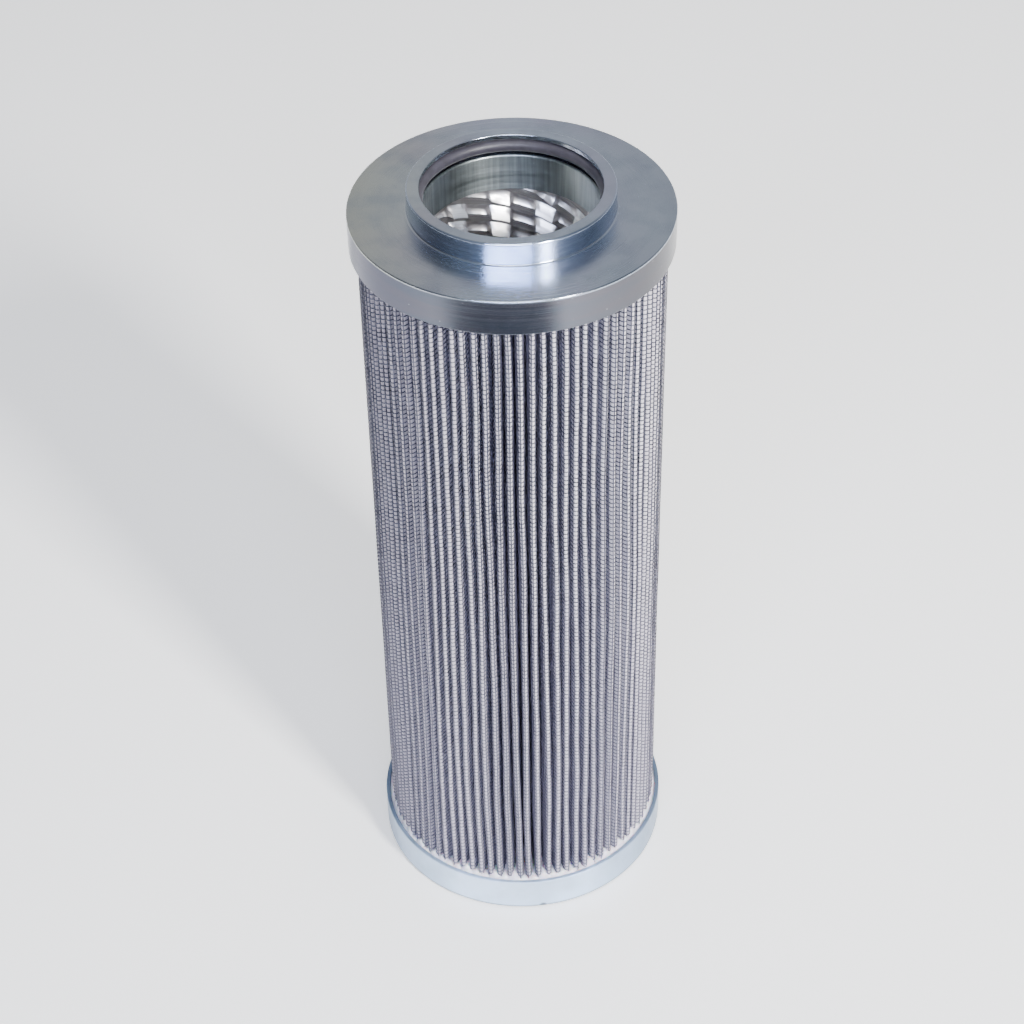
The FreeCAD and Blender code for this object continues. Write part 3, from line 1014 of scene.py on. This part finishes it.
def makeSideSeam():
    strip = seamSettings
    half = packSizes["seamHalf"] - strip["slack"]
    inner = packSizes["rootRadius"] - strip["sink"]
    outer = packReach["radius"] - packSizes["seamSetback"] + strip["proud"]
    foot, top = packReach["foot"], packReach["top"]
    steps = strip["steps"]
    sway = np.random.default_rng(strip["seed"]).normal(0, strip["sway"], steps + 1)
    points, faces = [], []
    for step in range(steps + 1):
        up = foot + (top - foot) * step / steps
        out = outer + sway[step]
        section = [(half, inner), (half, out), (0, out + strip["crown"]), (-half, out), (-half, inner)]
        points += [(across, along, up) for across, along in section]
    size = len(section)
    for step in range(steps):
        for index in range(size):
            low, high, ahead = step * size, (step + 1) * size, (index + 1) % size
            faces.append((low + index, low + ahead, high + ahead, high + index))
    faces += [tuple(range(size - 1, -1, -1)), tuple(range(steps * size, (steps + 1) * size))]
    seam = meshPiece("sideSeam", points, faces, castAdhesive("set adhesive strip", strip["roughness"]))
    seam.data.shade_smooth()
    return seam


# Adhesive cast round the pleats' ends, which creeps up between them by an uneven amount
def makePotting(name, glueReach, upward, creepShare):
    glue = glueSettings
    foot, top, outer = glueReach["foot"], glueReach["top"], glueReach["radius"]
    bore = coreReach["radius"] + glue["coreGap"]
    face = top if upward > 0 else foot
    shares = [(step / glue["across"]) ** 2 for step in range(glue["across"] + 1)]
    across = [outer + (bore - outer) * share for share in shares]
    if upward > 0:
        outline = [(bore, foot), (outer, foot)] + [(distance, top) for distance in across]
    else:
        outline = [(distance, foot) for distance in across[::-1]] + [(outer, top), (bore, top)]
    outline = [(Vector(point), Vector((0, upward))) for point in outline]
    material = castAdhesive("cast adhesive " + name, glue["roughness"])
    obj = turnedPiece(name, outline, glue["around"], material, False)
    pleats = packSizes["pleats"]
    creep = np.random.default_rng(glue["seed"]).uniform(glue["creepLow"], glue["creepHigh"], pleats)
    creep *= creepShare
    for vert in obj.data.vertices:
        if abs(vert.co.z / mm - face) > 1e-3:
            continue
        radius = math.hypot(vert.co.x, vert.co.y) / mm
        # counted from the seam, a quarter of a turn on from +X
        fins = (math.atan2(vert.co.y, vert.co.x) / math.pi * 0.5 - 0.25) * pleats
        gap, share = math.floor(fins), fins - math.floor(fins)
        inGap = glue["underPleat"] + (1 - glue["underPleat"]) * math.sin(math.pi * share) ** 2
        inward = min(1, max(0, (outer - radius) / glue["wallFade"]))
        rise = creep[gap % pleats] * inGap * inward * inward * (3 - 2 * inward)
        vert.co.z += upward * rise * mm
    return obj


sideSeam = makeSideSeam()
lowerPotting = makePotting("lowerPotting", lowerGlueReach, 1, 1.0)
upperPotting = makePotting("upperPotting", upperGlueReach, -1, glueSettings["upperShare"])
print("adhesive cast")

keepPiece(topEndCap, "cap_steel", "top_end_cap")
keepPiece(sealRing, "seal_rubber", "seal_ring")
keepPiece(bottomEndCap, "cup_steel", "bottom_end_cap")
keepPiece(coreTube, "core_steel", "core_tube")
keepPiece(filterMedia, "media", "filter_media")
for meshPart in meshPieces:
    keepPiece(meshPart, "mesh_wire", "outer_mesh")
keepPiece(sideSeam, "seam_adhesive", "side_seam")
keepPiece(lowerPotting, "lower_adhesive", "lower_potting")
keepPiece(upperPotting, "upper_adhesive", "upper_potting")

studio = {
    "floorSize": 6.0,
    "floor": "#faf9f6",
    "floorGlow": (0.36, 0.68),  # a light table: the floor is lit from below as well, less on the left
    "glowEdges": (-400.0, 60.0),  # from where to where, across, the glow grows
    "backWall": ("#f7f8ff", 0.71),
    "frontWall": ("#c8ccd8", 0.36),
    "leftWall": ("#c3cad2", 0.2),
    "ceiling": ("#c3cad2", 0.5),
    "spread": 120,  # degrees
    "softboxes": [
        # name, place and aim in metres, width, height, watts, colour
        ("front", (-0.08, -1.02, 0.86), (0.0, 0.0, 0.17), 0.92, 0.2, 8.3, "#d6e1ff"),
        ("frontRight", (0.62, -0.85, 0.84), (0.0, 0.0, 0.17), 0.17, 0.28, 14.0, "#fffefd"),
        ("bore", (0.0, 0.05, 1.3), (0.0, 0.0, 0.1), 0.3, 0.3, 2.0, "#ffffff"),
    ],
    "card": (-290.0, 160.0, -480.0, -190.0),  # left, right, front and back edges
    "cardFade": (130.0, 50.0),  # how far the card fades out at its left and its right
    "cardTone": "#3b3d45",
}


def makeFloor():
    colour = hexColour(studio["floor"])
    material, tree = startMaterial("pale matt floor")
    glow = shareOf(tree, (measurePlace(tree).across, *studio["glowEdges"], *studio["floorGlow"]))
    sockets = {"Base Color": colour, "Roughness": 0.85, "Emission Color": colour, "Emission Strength": glow}
    half = studio["floorSize"] / 2 / mm
    corners = [(-half, -half, 0), (half, -half, 0), (half, half, 0), (-half, half, 0)]
    meshPiece("floor", corners, [(0, 1, 2, 3)], endMaterial(material, sockets))


# A dark card that lies in front, unseen by the camera: it shows only as a reflection, mostly on the rim
def makeCard():
    left, right, front, back = studio["card"]
    fadeLeft, fadeRight = studio["cardFade"]
    material, tree = startMaterial("dark card")
    across = measurePlace(tree).across
    atLeft = shareOf(tree, (across, left, left + fadeLeft, 1.0, 0.0))
    atRight = shareOf(tree, (across, right - fadeRight, right, 0.0, 1.0))
    fade = addNode(tree, "ShaderNodeMath", {"operation": "MAXIMUM"}, {0: atLeft, 1: atRight})
    sockets = {
        "Base Color": paintLayers(tree, studio["cardTone"], (studio["floor"], (fade, 0.0, 1.0, 0.0, 1.0))),
        "Emission Color": hexColour(studio["floor"]),
        "Emission Strength": shareOf(tree, (fade, 0.0, 1.0, 0.0, 0.6)),
    }
    corners = [(left, front, 1), (right, front, 1), (right, back, 1), (left, back, 1)]
    card = meshPiece("card", corners, [(0, 1, 2, 3)], endMaterial(material, sockets))
    card.visible_camera = False
    card.visible_diffuse = False
    card.visible_shadow = False


def makeLights():
    for name, place, target, width, height, watts, colour in studio["softboxes"]:
        lamp = bpy.data.lights.new(name, "AREA")
        lamp.shape = "RECTANGLE"
        lamp.size = width
        lamp.size_y = height
        lamp.spread = math.radians(studio["spread"])
        lamp.energy = watts
        lamp.color = hexColour(colour)[:3]
        obj = bpy.data.objects.new(name, lamp)
        obj.location = place
        aim = Vector(target) - Vector(place)
        obj.rotation_euler = aim.to_track_quat("-Z", "Y").to_euler()
        bpy.context.scene.collection.objects.link(obj)
    world = bpy.data.worlds.new("studio")
    world.use_nodes = True
    tree = world.node_tree
    direction = addNode(tree, "ShaderNodeTexCoord", output="Generated")
    across, along, up = addNode(tree, "ShaderNodeSeparateXYZ", sockets={0: direction}).node.outputs
    tones = []
    for side in ("frontWall", "backWall", "leftWall", "ceiling"):
        colour, strength = studio[side]
        tones.append([channel * strength for channel in hexColour(colour)[:3]] + [1.0])
    front, back, left, ceiling = tones
    room = paintLayers(
        tree,
        front,
        (back, (along, 0.0, 0.6, 0.0, 1.0)),
        (left, (across, -0.95, -0.72, 1.0, 0.0)),
        (ceiling, (up, 0.6, 0.8, 0.0, 1.0)),
    )
    tree.links.new(room, tree.nodes["Background"].inputs["Color"])
    bpy.context.scene.world = world


viewpoint = {
    "place": (0.0, -425.86, 463.23),
    "down": 0.7102,  # radians, as the next two
    "yaw": -0.0029,
    "roll": -0.0208,
    "lens": 87.06,
    "sensor": 36.0,
}


def makeCamera():
    down, yaw, roll = viewpoint["down"], viewpoint["yaw"], viewpoint["roll"]
    forward = Vector((math.sin(yaw) * math.cos(down), math.cos(yaw) * math.cos(down), -math.sin(down)))
    right = forward.cross(Vector((0, 0, 1))).normalized()
    up = right.cross(forward)
    rolledRight = right * math.cos(roll) + up * math.sin(roll)
    rolledUp = up * math.cos(roll) - right * math.sin(roll)
    camera = bpy.data.cameras.new("camera")
    camera.lens = viewpoint["lens"]
    camera.sensor_width = viewpoint["sensor"]
    camera.clip_start = 0.01
    camera.dof.use_dof = False
    obj = bpy.data.objects.new("camera", camera)
    turn = Matrix((rolledRight, rolledUp, -forward)).transposed().to_4x4()
    obj.matrix_world = Matrix.Translation(Vector(viewpoint["place"]) * mm) @ turn
    bpy.context.scene.collection.objects.link(obj)
    bpy.context.scene.camera = obj


makeFloor()
makeCard()
makeLights()
makeCamera()
print("studio set")
